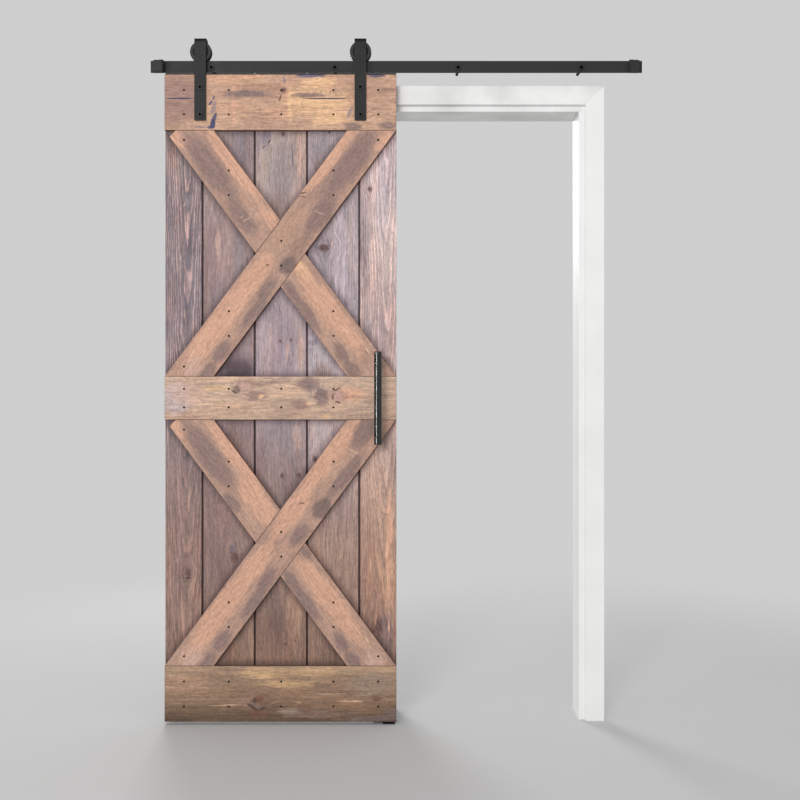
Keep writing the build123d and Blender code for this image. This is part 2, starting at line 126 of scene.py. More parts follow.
# %% Shader shorthand
def tone(red, green, blue):
    """A colour picked on a screen, turned into the linear colour that light uses."""
    def linear(v):
        v /= 255
        return v / 12.92 if v <= 0.04045 else ((v + 0.055) / 1.055) ** 2.4
    return (linear(red), linear(green), linear(blue), 1)


class Recipe:
    """Adds nodes to one tree and links them."""

    def __init__(self, tree):
        self.tree = tree

    def add(self, kind, settings=None, inputs=None):
        node = self.tree.nodes.new(kind)
        for key, value in (settings or {}).items():
            setattr(node, key, value)
        for key, value in (inputs or {}).items():
            if isinstance(value, bpy.types.NodeSocket):
                self.tree.links.new(value, node.inputs[key])
            else:
                node.inputs[key].default_value = value
        return node

    def make(self, kind, inputs):
        """Adds a geometry node that needs no settings, and hands back its first result."""
        return self.add("GeometryNode" + kind, {}, inputs).outputs[0]

    def link(self, value, socket):
        self.tree.links.new(value, socket)

    def object_point(self):
        return self.add("ShaderNodeTexCoord").outputs["Object"]

    def parts(self, vector):
        return self.add("ShaderNodeSeparateXYZ", {}, {0: vector}).outputs

    def join(self, x, y=0.0, z=0.0):
        return self.add("ShaderNodeCombineXYZ", {}, {0: x, 1: y, 2: z}).outputs[0]

    def group(self, tree, inputs):
        return self.add("ShaderNodeGroup", {"node_tree": tree}, inputs).outputs

    def math(self, operation, first, second=0.0, third=0.0):
        inputs = {0: first, 1: second, 2: third}
        return self.add("ShaderNodeMath", {"operation": operation}, inputs).outputs[0]

    def times(self, first, second):
        return self.math("MULTIPLY", first, second)

    def times_plus(self, first, second, third):
        return self.math("MULTIPLY_ADD", first, second, third)

    def minus(self, first, second):
        return self.math("SUBTRACT", first, second)

    def vector_math(self, operation, first, second=(0, 0, 0)):
        node = self.add("ShaderNodeVectorMath", {"operation": operation}, {0: first, 1: second})
        return node.outputs["Value" if operation == "LENGTH" else "Vector"]

    def scaled(self, vector, scale):
        return self.vector_math("MULTIPLY", vector, scale)

    def noise(self, vector, scale=1.0, detail=2.0, roughness=0.5, output="Fac"):
        inputs = {"Vector": vector, "Scale": scale, "Detail": detail, "Roughness": roughness}
        return self.add("ShaderNodeTexNoise", {}, inputs).outputs[output]

    def steps(self, value, low, high, low_out=0.0, high_out=1.0):
        inputs = {"Value": value, "From Min": low, "From Max": high, "To Min": low_out, "To Max": high_out}
        return self.add("ShaderNodeMapRange", {"interpolation_type": "SMOOTHSTEP"}, inputs).outputs[0]

    def mix(self, share, first, second, blend="MIX"):
        settings = {"data_type": "RGBA", "blend_type": blend, "clamp_factor": True}
        return self.add("ShaderNodeMix", settings, {0: share, 6: first, 7: second}).outputs[2]

    def tint(self, share, colour, factor):
        """Multiplies a colour by a factor for red, green and blue, as far as share says."""
        return self.mix(share, colour, (*factor, 1), "MULTIPLY")

    def place(self, vector, location, rotation, scale=(1, 1, 1)):
        inputs = {"Vector": vector, "Location": location, "Rotation": rotation, "Scale": scale}
        return self.add("ShaderNodeMapping", {"vector_type": "TEXTURE"}, inputs).outputs[0]

    def bump(self, height, distance, strength=0.5):
        inputs = {"Height": height, "Distance": distance, "Strength": strength}
        return self.add("ShaderNodeBump", {}, inputs).outputs[0]


def new_material(name):
    """A material with an empty shader, and the recipe that fills it."""
    material = bpy.data.materials.new(name)
    material.use_nodes = True
    return material, Recipe(material.node_tree), material.node_tree.nodes["Principled BSDF"]


def surface(r, shader, colour, roughness, relief):
    """Gives a shader its colour, its roughness and its fine relief."""
    for label, value in (("Base Color", colour), ("Roughness", roughness), ("Normal", relief)):
        r.link(value, shader.inputs[label])


def coat(names, material):
    """Gives one material to every node in a list."""
    for name in names:
        mesh = nodes[name].data
        mesh.materials.clear()
        mesh.materials.append(material)


print("shorthand ready")

# %% [markdown]
# ## The floor
#
# The floor is a pale matt disc. Its rim is see-through, so that it melts into the surround without a
# horizon.

# %% Floor
floor_radius = 3.2
floor_fade = 1.5
floor_segments = 96

floor_material, recipe, shader = new_material("pale_floor")
shader.inputs["Base Color"].default_value = (0.56, 0.56, 0.56, 1)
shader.inputs["Roughness"].default_value = 0.9
distance = recipe.vector_math("LENGTH", recipe.object_point())
recipe.link(recipe.steps(distance, floor_fade, floor_radius, 1.0, 0.0), shader.inputs["Alpha"])

angles = [2 * math.pi * i / floor_segments for i in range(floor_segments)]
rim_points = [(floor_radius * math.cos(a), floor_radius * math.sin(a), 0) for a in angles]
floor_mesh = bpy.data.meshes.new("floor")
floor_mesh.from_pydata(rim_points, [], [list(range(floor_segments))])
floor_mesh.materials.append(floor_material)
floor = bpy.data.objects.new("floor", floor_mesh)
bpy.context.scene.collection.objects.link(floor)
floor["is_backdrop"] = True
print("floor radius", floor_radius)

# %% [markdown]
# ## How a board shows its grain
#
# A plank is cut along a tree. The rings are nearly round tubes around the heart, which leans slightly
# through the board, so on a face they show as long arches in the middle and straight lines at the edges.
# The grain below does the same sum: the distance from a leaning heart line gives the ring. Finer patterns
# lie over it: strands as wide as a finger nail, fibres a few tenths of a millimetre wide, and slow clouds
# where the stain took unevenly.


# %% Grain group
def open_group(name, inputs, outputs):
    """Starts a node group with its sockets, and returns it with its recipe and its two ends."""
    tree = bpy.data.node_groups.new(name, "ShaderNodeTree")
    for label, value in inputs.items():
        kind = "NodeSocketFloat" if isinstance(value, float) else "NodeSocketVector"
        socket = tree.interface.new_socket(label, in_out="INPUT", socket_type=kind)
        if value is not None:
            socket.default_value = value
    for label in outputs:
        kind = "NodeSocketVector" if label == "Vector" else "NodeSocketFloat"
        tree.interface.new_socket(label, in_out="OUTPUT", socket_type=kind)
    start = tree.nodes.new("NodeGroupInput").outputs
    return tree, Recipe(tree), start, tree.nodes.new("NodeGroupOutput").inputs


def build_grain():
    """Rings, strands, fibres and clouds from a point in the board: x along it, z across, y into it."""
    inputs = {"Vector": None, "Seed": 0.0, "Heart": 0.0, "Depth": 0.05, "Lean": 0.02}
    inputs.update({"Rings": 150.0, "Wander": 0.012})
    outputs = ("Ring", "Strand", "Fibre", "Fine", "Cloud", "Blush", "Broken", "Mottle", "Fray")
    tree, r, start, end = open_group("board_grain", inputs, outputs)
    seed = r.join(start["Seed"], start["Seed"], start["Seed"])
    drift = r.vector_math("ADD", start["Vector"], seed)
    slow = r.minus(r.noise(r.scaled(drift, (2.2, 5, 9)), 1.0, 3.0, 0.5), 0.5)
    quick = r.minus(r.noise(r.scaled(drift, (14, 30, 70)), 1.0, 3.0, 0.6), 0.5)
    along, into, across = r.parts(start["Vector"])
    sideways = r.minus(r.times_plus(slow, start["Wander"], across), start["Heart"])
    sunk = r.math("ADD", r.times_plus(along, start["Lean"], start["Depth"]), into)
    sunk = r.times_plus(slow, 0.03, sunk)
    radius = r.math("SQRT", r.math("ADD", r.math("POWER", sideways, 2), r.math("POWER", sunk, 2)))
    r.link(r.math("FRACT", r.times_plus(radius, start["Rings"], quick)), end["Ring"])
    aside = r.vector_math("ADD", drift, (7.1, 3.3, 5.7))
    patterns = {
        "Strand": (drift, (7, 50, 80), 4.0, 0.65), "Fibre": (drift, (30, 150, 240), 3.0, 0.6),
        "Fine": (drift, (90, 600, 900), 2.0, 0.6), "Cloud": (drift, (3.5, 7, 13), 4.0, 0.6),
        "Blush": (aside, (4, 9, 22), 4.0, 0.6), "Broken": (aside, (9, 20, 55), 3.0, 0.6),
        "Mottle": (aside, (75, 90, 110), 3.0, 0.65), "Fray": (aside, (16, 30, 48), 5.0, 0.72),
    }
    for label, (place, scale, detail, roughness) in patterns.items():
        r.link(r.noise(r.scaled(place, scale), 1.0, detail, roughness), end[label])
    return tree


board_grain = build_grain()
print("grain group:", len(board_grain.nodes), "nodes")

# %% [markdown]
# ## Knots and marks
#
# A knot is a branch that the board cuts through, and the grain flows round it like water round a stone. So
# a knot is put in before the rings: around it, every point reads the rings from nearer the knot's middle,
# which pushes their lines outwards, and the knot also tells how deep inside it the point lies. A mark is
# simpler, an oval with a ragged edge. Stains, cracks and pale scratches are all marks of other sizes and
# colours.


# %% Knot and mark groups
def build_knot():
    """Bends the board's own coordinates round a knot, and tells how far inside it a point is."""
    inputs = {"Vector": None, "Middle": (0, 0, 0), "Size": (0.02, 1, 0.014), "Reach": 4.0}
    tree, r, start, end = open_group("knot", inputs, ("Vector", "Inside", "Halo", "Turns"))
    away = r.vector_math("SUBTRACT", start["Vector"], start["Middle"])
    oval = r.vector_math("DIVIDE", away, start["Size"])
    ragged = r.vector_math("SUBTRACT", r.noise(oval, 1.1, 3.0, 0.6, "Color"), (0.5, 0.5, 0.5))
    oval = r.vector_math("ADD", oval, r.scaled(ragged, (1.7, 0, 1.7)))
    far = r.vector_math("LENGTH", oval)
    push = r.minus(1.0, r.steps(far, 0.3, start["Reach"]))
    shift = r.times(r.times(r.parts(away)[2], push), -0.8)
    r.link(r.vector_math("ADD", start["Vector"], r.join(0.0, 0.0, shift)), end["Vector"])
    r.link(r.steps(far, 0.35, 1.15, 1.0, 0.0), end["Inside"])
    r.link(r.steps(far, 0.8, 2.6, 1.0, 0.0), end["Halo"])
    r.link(r.math("FRACT", r.times(far, 2.3)), end["Turns"])
    return tree


def build_mark():
    """An oval with a soft edge."""
    inputs = {"Vector": None, "Middle": (0, 0, 0), "Turn": (0, 0, 0), "Size": (0.1, 1, 0.1), "Soft": 0.5}
    tree, r, start, end = open_group("mark", inputs, ["Share"])
    oval = r.place(start["Vector"], start["Middle"], start["Turn"], start["Size"])
    far = r.vector_math("LENGTH", r.scaled(oval, (1, 0, 1)))
    inner = r.minus(1.0, start["Soft"])
    r.link(r.steps(far, inner, 1.0, 1.0, 0.0), end["Share"])
    return tree


knot_group, mark_group = build_knot(), build_mark()
print("knot and mark groups ready")

# %% [markdown]
# ## Where the boards meet
#
# Painted shade darkens the planks against the boards that are screwed on the front and makes the seams
# between the planks nearly black, and a painted shadow of the track darkens the planks' ends above the top
# rail. All of this follows from the door's own layout, so the layout is read from the frame: the two bays
# are alike, and folding the door about its middle lines turns four triangles in each into one.

# %% Layout of the leaf
leaf_low, leaf_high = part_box("bottom_rail")
middle_rail_low, middle_rail_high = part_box("middle_rail")
leaf_width = leaf_high.x - leaf_low.x
leaf_middle = (leaf_low.x + leaf_high.x) / 2
front_face = leaf_low.y
plank_face = leaf_high.y
rail_level = (middle_rail_low.z + middle_rail_high.z) / 2
bay_low, bay_high = leaf_high.z, middle_rail_low.z
rail_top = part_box("top_rail")[1].z
bay_height = bay_high - bay_low
bay_middles = {"lower": (bay_low + bay_high) / 2, "upper": 2 * rail_level - (bay_low + bay_high) / 2}
bay_offset = rail_level - bay_middles["lower"]
brace_width = 0.130
brace_lean = math.atan2(bay_height, leaf_width) + math.asin(brace_width / math.hypot(bay_height, leaf_width))
seam_side = 0.0005
first_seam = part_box("plank_2")[0].x - seam_side
plank_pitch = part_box("plank_3")[0].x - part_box("plank_2")[0].x
seam_fade = (0.0029, 0.0047)
seam_depth = 0.015
leaf_edge = 0.02
corner_reach = 0.028
print("bays", round(bay_height, 4), "m high, braces lean", round(math.degrees(brace_lean), 2), "degrees")


# %% Groups for the corners and the seams
def build_corner_shade():
    """The share of painted shade on the planks: 1 against a rail or brace, 0 beyond reach."""
    tree, r, start, end = open_group("corner_shade", {"Vector": None, "Reach": 0.03}, ["Share"])
    x, _, z = r.parts(start["Vector"])
    side = r.math("ABSOLUTE", r.minus(x, leaf_middle))
    level = r.math("ABSOLUTE", r.minus(z, rail_level))
    level = r.math("ABSOLUTE", r.minus(level, bay_offset))
    to_rail = r.minus(bay_height / 2, level)
    rise = r.times(level, math.cos(brace_lean))
    to_brace = r.math("ABSOLUTE", r.minus(r.times(side, math.sin(brace_lean)), rise))
    to_brace = r.minus(to_brace, brace_width / 2)
    nearest = r.math("MINIMUM", to_rail, to_brace)
    r.link(r.steps(nearest, 0.0, start["Reach"], 1.0, 0.0), end["Share"])
    return tree


def build_seam_shade():
    """The share of painted shade in the vee between two planks: 1 inside it, 0 elsewhere."""
    tree, r, start, end = open_group("seam", {"Vector": None}, ["Share"])
    x, y, _ = r.parts(start["Vector"])
    turn = r.times_plus(r.minus(x, first_seam), 1 / plank_pitch, 0.5)
    off = r.times(r.math("ABSOLUTE", r.minus(r.math("FRACT", turn), 0.5)), plank_pitch)
    near = r.steps(off, *seam_fade, 1.0, 0.0)
    within = r.times(near, r.math("LESS_THAN", y, plank_face + seam_depth))
    past_left = r.math("GREATER_THAN", x, leaf_low.x + leaf_edge)
    before_right = r.math("LESS_THAN", x, leaf_high.x - leaf_edge)
    r.link(r.times(within, r.times(past_left, before_right)), end["Share"])
    return tree


corner_shade, seam_shade_group = build_corner_shade(), build_seam_shade()
print("corner and seam groups ready")

# %% [markdown]
# ## The board recipe
#
# All fourteen boards use one recipe. It turns the door's coordinates into the board's own, lets the knots
# bend them, reads the grain, and then lays the marks over the stain from large and soft to small and sharp.
# Marks are only a few millimetres deep, so they don't come out at the back. The light and dark of the grain
# also lifts and lowers the surface a little, and rough places shine less.

# %% Kinds of mark
def stain(red, green, blue, share, soft, ragged, fray, comb=None):
    """A kind of mark: its colour, strength, softness and torn edge, and a comb that breaks it up."""
    colour = tone(red, green, blue)
    return {"colour": colour, "share": share, "soft": soft, "ragged": ragged, "fray": fray, "comb": comb}


smoke = stain(136, 113, 108, 0.85, 0.85, 0.02, 0.9)
soot = stain(116, 97, 93, 0.85, 0.7, 0.012, 0.7)
# A painted shadow, dark purple, for a corner of the upper bay on plank 2.
painted_corner_shadow = stain(82, 66, 74, 0.9, 0.95, 0.02, 0.6)
shade = stain(140, 113, 102, 0.6, 0.95, 0.03, 0.8)
peach = stain(210, 163, 138, 0.85, 0.7, 0.012, 0.7)
pink = stain(202, 166, 152, 0.65, 0.9, 0.015, 0.8)
gold = stain(232, 188, 144, 0.7, 0.95, 0.02, 0.8)
lilac = stain(188, 174, 180, 0.65, 0.9, 0.03, 0.8)
cool = stain(138, 128, 134, 0.5, 0.95, 0.02, 0.8)
blue = stain(82, 80, 106, 0.9, 0.6, 0.01, 0.6)
haze = stain(124, 114, 130, 0.6, 0.9, 0.015, 0.8)
umber = stain(76, 58, 56, 0.85, 0.8, 0.006, 0.5)
pale = stain(232, 196, 164, 0.65, 0.95, 0.006, 0.5)
honey = stain(206, 168, 128, 0.6, 0.97, 0.02, 0.7)
ash = stain(152, 134, 120, 0.55, 0.97, 0.02, 0.6)
warm = stain(178, 143, 120, 0.6, 0.95, 0.02, 0.8)
dusk = stain(150, 119, 112, 0.8, 0.9, 0.02, 0.8)
wedge = stain(76, 76, 106, 0.92, 0.5, 0.0025, 0.4)
rust = stain(118, 82, 68, 0.7, 0.9, 0.012, 0.7)
crack = stain(62, 62, 92, 0.95, 0.6, 0.001, 0.15)
ticks = stain(120, 106, 114, 0.5, 0.8, 0.012, 0.9, (240, 240, 60))


def mark(kind, x, z, long, wide, turn=0):
    """A mark in the door's own place: its middle, half its length and width, and its turn in degrees."""
    return {"kind": kind, "middle": (x, 0, z), "size": (long, 1, wide), "turn": turn}


# %% Board recipe
mark_depth = (0.004, 0.007)
grain_fade = (0.85, 1.25)
edge_shade = (0.0002, 0.0013)
track_shadow_fade = 0.001


def board_material(name, middle, heading, tones, grain, knots, marks, plank=False):
    """The stained, weathered wood of one board. Heading is the angle of its grain above level.

    A row of tones is a height with its red, green and blue. A row of marks holds what mark() takes.
    """
    material, r, shader = new_material(name)
    shader.inputs["Specular IOR Level"].default_value = 0.25
    point = r.object_point()
    face = plank_face if plank else front_face
    own = r.place(point, (middle[0], face, middle[1]), (0, -heading, 0))
    depths = []
    for along, across, long, wide in knots:
        inputs = {"Vector": own, "Middle": (along, 0, across), "Size": (long, 1, wide)}
        knot = r.group(knot_group, inputs)
        own = knot["Vector"]
        depths.append(knot)
    sockets = {"Vector": own, "Seed": grain["seed"], "Heart": grain["heart"], "Depth": grain["depth"]}
    sockets.update({"Lean": grain["lean"], "Rings": grain["rings"], "Wander": grain["wander"]})
    figure = r.group(board_grain, sockets)

    height = r.parts(point)[2]
    colour = tone(*tones[0][1:])
    for (level, *_), (next_level, *shades) in zip(tones, tones[1:]):
        colour = r.mix(r.steps(height, level, next_level), colour, tone(*shades))
    colour = r.tint(r.steps(figure["Cloud"], 0.42, 0.66, 0.0, grain["clouds"]), colour, (0.72, 0.7, 0.76))
    colour = r.tint(r.steps(figure["Blush"], 0.45, 0.7, 0.0, grain["blush"]), colour, grain["warm"])

    bare = colour
    ragged = r.vector_math("SUBTRACT", r.noise(r.scaled(own, (7, 7, 26)), 1.0, 5.0, 0.7, "Color"), (0.5,) * 3)
    fray = r.minus(figure["Fray"], 0.5)
    fray = r.times_plus(r.minus(figure["Strand"], 0.5), 0.7, fray)
    fray = r.times_plus(r.minus(figure["Fibre"], 0.5), 0.6, fray)
    for m in [mark(*row) for row in marks]:
        kind = m["kind"]
        frayed = r.vector_math("ADD", point, r.scaled(ragged, (kind["ragged"] * 2.5,) * 3))
        turn = (0, math.radians(-m["turn"]), 0)
        inputs = {"Vector": frayed, "Middle": m["middle"], "Turn": turn, "Size": m["size"]}
        share = r.group(mark_group, {**inputs, "Soft": kind["soft"]})[0]
        share = r.steps(r.times_plus(fray, kind["fray"], share), 0.12, 0.88, 0.0, kind["share"])
        if kind["comb"]:
            share = r.times(share, r.steps(r.noise(r.scaled(point, kind["comb"])), 0.45, 0.6))
        colour = r.mix(share, colour, kind["colour"])
    front = r.steps(r.parts(point)[1], face + mark_depth[0], face + mark_depth[1], 1.0, 0.0)
    colour = r.mix(front, bare, colour)

    rise = r.steps(figure["Ring"], grain["thin"], grain["thin"] + 0.22)
    line = r.times(rise, r.steps(figure["Ring"], 0.88, 1.0, 1.0, 0.0))
    late = r.times(line, r.steps(figure["Broken"], 0.38, 0.6, 1.0 - grain["broken"], 1.0))
    late = r.times(late, r.steps(height, *grain_fade, grain["low"], 1.0))
    colour = r.tint(r.times(late, grain["figure"]), colour, grain["late"])
    early = r.times(r.steps(figure["Ring"], 0.0, 0.3, 1.0, 0.0), grain["figure"])
    colour = r.tint(early, colour, (0.8, 0.79, 0.82))
    streak = 1.0
    swing = {}
    for label, share in (("Strand", "strands"), ("Fibre", "fibres"), ("Fine", "fine"), ("Mottle", "mottle")):
        swing[label] = r.steps(figure[label], 0.3, 0.7, -1.0, 1.0)
        streak = r.times_plus(swing[label], grain[share], streak)
    colour = r.mix(1.0, colour, r.join(streak, streak, streak), "MULTIPLY")
    for knot in depths:
        colour = r.tint(r.times(knot["Halo"], 0.5), colour, (0.84, 0.74, 0.74))
        core = r.mix(r.steps(knot["Turns"], 0.2, 0.9), grain["knot"], grain["knot_dark"])
        colour = r.mix(r.times(knot["Inside"], 0.85), colour, core)

    if plank:
        # Painted shade on the planks against the rails and braces.
        corner = r.group(corner_shade, {"Vector": point, "Reach": corner_reach})[0]
        near = r.times(corner, r.times(front, 0.8))
        colour = r.tint(near, colour, (0.5, 0.47, 0.5))
        # Painted shade in the vees of the seams.
        colour = r.tint(r.group(seam_shade_group, {"Vector": point})[0], colour, (0.29, 0.26, 0.28))
        # Painted shadow of the track on the planks' ends above the top rail.
        track_shadow = r.times(r.steps(height, rail_top - track_shadow_fade, rail_top + track_shadow_fade), front)
        colour = r.tint(track_shadow, colour, (0.03, 0.03, 0.03))
    else:
        # Painted shade on the sides and eased edges of rails and braces, behind their front face.
        sunk = r.steps(r.parts(point)[1], front_face + edge_shade[0], front_face + edge_shade[1])
        colour = r.tint(sunk, colour, (0.3, 0.26, 0.26))

    relief = r.times_plus(swing["Fibre"], 0.25, r.times(swing["Fine"], 0.12))
    relief = r.bump(r.times_plus(late, 0.6, relief), 0.0004, 0.8)
    surface(r, shader, colour, r.steps(figure["Fibre"], 0.2, 0.8, 0.7, 0.88), relief)
    return material


def coat_boards(recipes, base_grain, plank=False):
    """Gives every board in a table its wood. The places of its knots are turned into the board's own."""
    for name, board in recipes.items():
        low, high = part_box(name)
        middle = ((low.x + high.x) / 2, (low.z + high.z) / 2)
        knots = []
        for x, z, long, wide in board["knots"]:
            side, rise = x - middle[0], z - middle[1]
            knots.append((rise, -side, long, wide) if plank else (side, rise, long, wide))
        heading = math.pi / 2 if plank else 0
        grain = {**base_grain, **board["grain"]}
        wood = board_material(name, middle, heading, board["tones"], grain, knots, board["marks"], plank)
        coat([name], wood)


# %% [markdown]
# ## The planks
#
# Five upright planks lie behind everything. They are the darkest wood, a grey brown with a little purple
# that turns browner towards the floor. The two outer ones were cut nearer the bark and show tall pale
# arches.

# %% Planks
plank_grain = dict(
    heart=0.0, depth=0.08, lean=-0.05, rings=130.0, wander=0.02, seed=1.0, figure=0.4,
    late=(1.25, 1.18, 1.15), warm=(1.22, 1.1, 1.02), clouds=0.8, blush=0.75, strands=0.15, fibres=0.19,
    fine=0.09, mottle=0.09, thin=0.42, broken=1.0, low=0.8, knot=tone(112, 84, 80),
    knot_dark=tone(70, 54, 58),
)
plank_recipes = {
    "plank_1": {
        "tones": [(0.1, 133, 107, 94), (0.55, 149, 124, 115), (1.2, 133, 121, 125), (2.0, 137, 125, 127)],
        "grain": dict(
            heart=-0.008, rings=190.0, figure=1.0, late=(2.5, 2.0, 1.75), seed=3.1, wander=0.03, depth=0.05,
            lean=-0.03, thin=0.55, broken=0.75, low=0.35, strands=0.24,
        ),
        "knots": [(-0.688, 0.497, 0.017, 0.011)],
        "marks": [
            (shade, -0.74, 1.893, 0.12, 0.03, 90), (cool, -0.665, 1.497, 0.34, 0.03, 90),
            (pale, -0.699, 1.349, 0.03, 0.003, 92), (pale, -0.701, 1.712, 0.012, 0.003, 60),
            (umber, -0.688, 0.481, 0.014, 0.006),
        ],
    },
    "plank_2": {
        "tones": [(0.1, 134, 106, 88), (0.6, 146, 120, 114), (1.2, 154, 133, 134), (2.0, 156, 137, 134)],
        "grain": dict(heart=0.05, figure=0.25, seed=11.4),
        "knots": [(-0.534, 0.55, 0.02, 0.015)],
        "marks": [
            (pink, -0.587, 1.586, 0.1, 0.016, 90), (shade, -0.628, 1.398, 0.36, 0.016, 90),
            # The dark purple mark low in the upper bay is painted shadow.
            (cool, -0.516, 1.563, 0.16, 0.03, 90), (painted_corner_shadow, -0.529, 1.16, 0.11, 0.085, 20),
            (cool, -0.516, 1.9, 0.1, 0.03, 90), (shade, -0.536, 0.936, 0.1, 0.05, 90),
            (haze, -0.539, 0.576, 0.03, 0.02, 70), (warm, -0.48, 0.276, 0.12, 0.016, 90),
            (shade, -0.496, 0.276, 0.09, 0.03, 90),
        ],
    },
    "plank_3": {
        "tones": [(0.1, 136, 107, 92), (0.6, 138, 115, 107), (1.2, 170, 153, 157), (2.0, 178, 158, 150)],
        "grain": dict(heart=-0.02, figure=0.3, seed=23.7),
        "knots": [
            (-0.374, 1.946, 0.01, 0.007), (-0.377, 0.818, 0.012, 0.007), (-0.323, 0.82, 0.011, 0.009),
            (-0.384, 1.263, 0.007, 0.005), (-0.348, 1.266, 0.006, 0.004), (-0.366, 0.263, 0.005, 0.005),
            (-0.333, 0.273, 0.006, 0.004),
        ],
        "marks": [
            (shade, -0.384, 1.679, 0.16, 0.08, 90), (cool, -0.384, 1.827, 0.2, 0.08, 90),
            (haze, -0.43, 1.939, 0.07, 0.03, 80), (haze, -0.455, 1.893, 0.14, 0.01, 90),
            (umber, -0.42, 1.923, 0.014, 0.0036, 52), (pale, -0.415, 1.919, 0.012, 0.002, 52),
            (umber, -0.437, 1.903, 0.01, 0.0022, 48), (pink, -0.321, 1.867, 0.15, 0.02, 91),
            (pink, -0.318, 1.233, 0.12, 0.022, 90), (pink, -0.358, 1.233, 0.07, 0.006, 90),
            (pink, -0.328, 0.943, 0.1, 0.024, 90), (warm, -0.331, 0.375, 0.2, 0.045, 90),
            (cool, -0.377, 0.985, 0.17, 0.09, 90), (crack, -0.343, 1.873, 0.056, 0.0016, 93),
            (umber, -0.371, 1.959, 0.012, 0.004, -20),
        ],
    },
    "plank_4": {
        "tones": [(0.1, 128, 102, 88), (0.5, 166, 137, 122), (1.2, 181, 168, 171), (2.0, 168, 153, 154)],
        "grain": dict(
            heart=-0.02, figure=0.8, rings=170.0, depth=0.05, lean=-0.03, seed=37.2,
            late=(1.28, 1.24, 1.24), thin=0.5, broken=0.8, low=0.6,
        ),
        "knots": [(-0.24, 1.571, 0.016, 0.022), (-0.269, 0.873, 0.012, 0.009)],
        "marks": [
            (lilac, -0.186, 1.53, 0.3, 0.04, 90), (umber, -0.245, 1.57, 0.009, 0.016, 10),
            (pale, -0.211, 1.586, 0.022, 0.004, 80), (shade, -0.259, 1.827, 0.1, 0.03, 90),
            (haze, -0.278, 1.259, 0.03, 0.02), (cool, -0.245, 1.893, 0.1, 0.06, 90),
            (blue, -0.222, 1.954, 0.006, 0.01), (shade, -0.245, 1.16, 0.06, 0.05, 90),
        ],
    },
    "plank_5": {
        "tones": [(0.1, 112, 91, 87), (0.5, 177, 143, 123), (1.2, 198, 175, 168), (2.0, 205, 186, 184)],
        "grain": dict(
            heart=-0.026, rings=150.0, figure=1.0, late=(1.62, 1.5, 1.44), seed=41.9, lean=-0.03,
            depth=0.047, wander=0.01, thin=0.6, broken=0.5, low=0.55,
        ),
        "knots": [(-0.089, 1.764, 0.01, 0.008), (-0.061, 0.322, 0.036, 0.016)],
        "marks": [
            (lilac, -0.047, 1.761, 0.26, 0.04, 90), (shade, -0.11, 1.53, 0.3, 0.014, 90),
            (cool, -0.104, 1.563, 0.4, 0.03, 90), (cool, -0.097, 1.299, 0.14, 0.03, 90),
            (peach, -0.024, 0.606, 0.26, 0.016, 90), (shade, -0.038, 0.226, 0.08, 0.05, 90),
            (smoke, -0.038, 0.296, 0.12, 0.042, 90), (peach, -0.069, 0.342, 0.026, 0.0035, 75),
            (peach, -0.057, 0.302, 0.022, 0.003, -62), (peach, -0.024, 0.322, 0.024, 0.003, 90),
        ],
    },
}
coat_boards(plank_recipes, plank_grain, plank=True)
print(len(plank_recipes), "planks")
